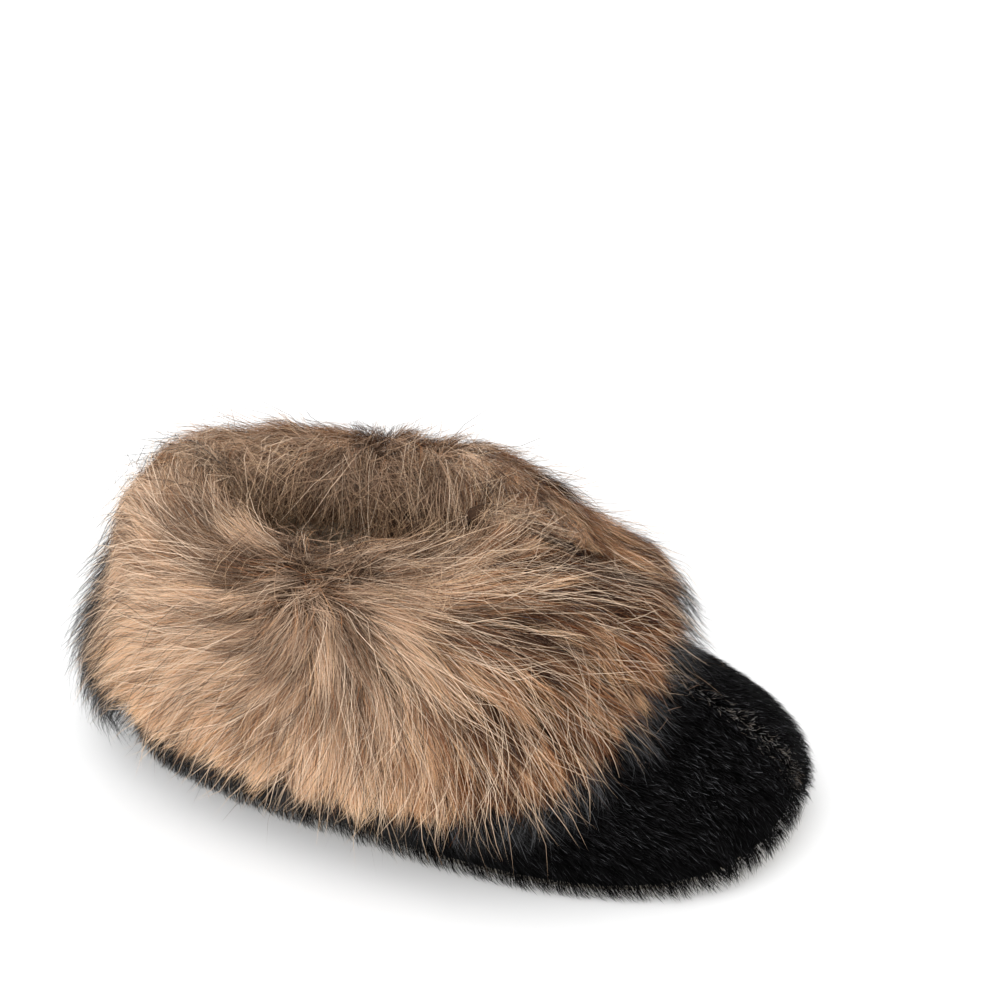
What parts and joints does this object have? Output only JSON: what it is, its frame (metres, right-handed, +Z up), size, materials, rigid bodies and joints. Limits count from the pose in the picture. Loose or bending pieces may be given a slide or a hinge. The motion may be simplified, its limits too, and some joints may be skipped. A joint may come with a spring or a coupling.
{
  "type": "fur-cuffed slipper",
  "caption": "Right slipper of short-haired black hide with a pale soft sole, fleece footbed and a deep brown fur cuff round an open collar.",
  "frame": {"origin": "on the floor under the middle of the slipper's box", "axes": "+X towards the toe, +Y towards the inner side of the foot, +Z up"},
  "size_m": [0.2748, 0.155, 0.1237],
  "materials": {
    "sole_suede": "pale grey-cream suede, matt",
    "footbed_fleece": "cream wool fleece, matt",
    "black_hide": "short-haired black hide with a glossy nap",
    "brown_fur": "deep soft fur, taupe to golden tan with black tips"
  },
  "bodies": {
    "root": {"outsole": "sole_suede", "insole": "footbed_fleece", "upper": "black_hide", "fur_cuff": "brown_fur"}
  },
  "joints": []
}
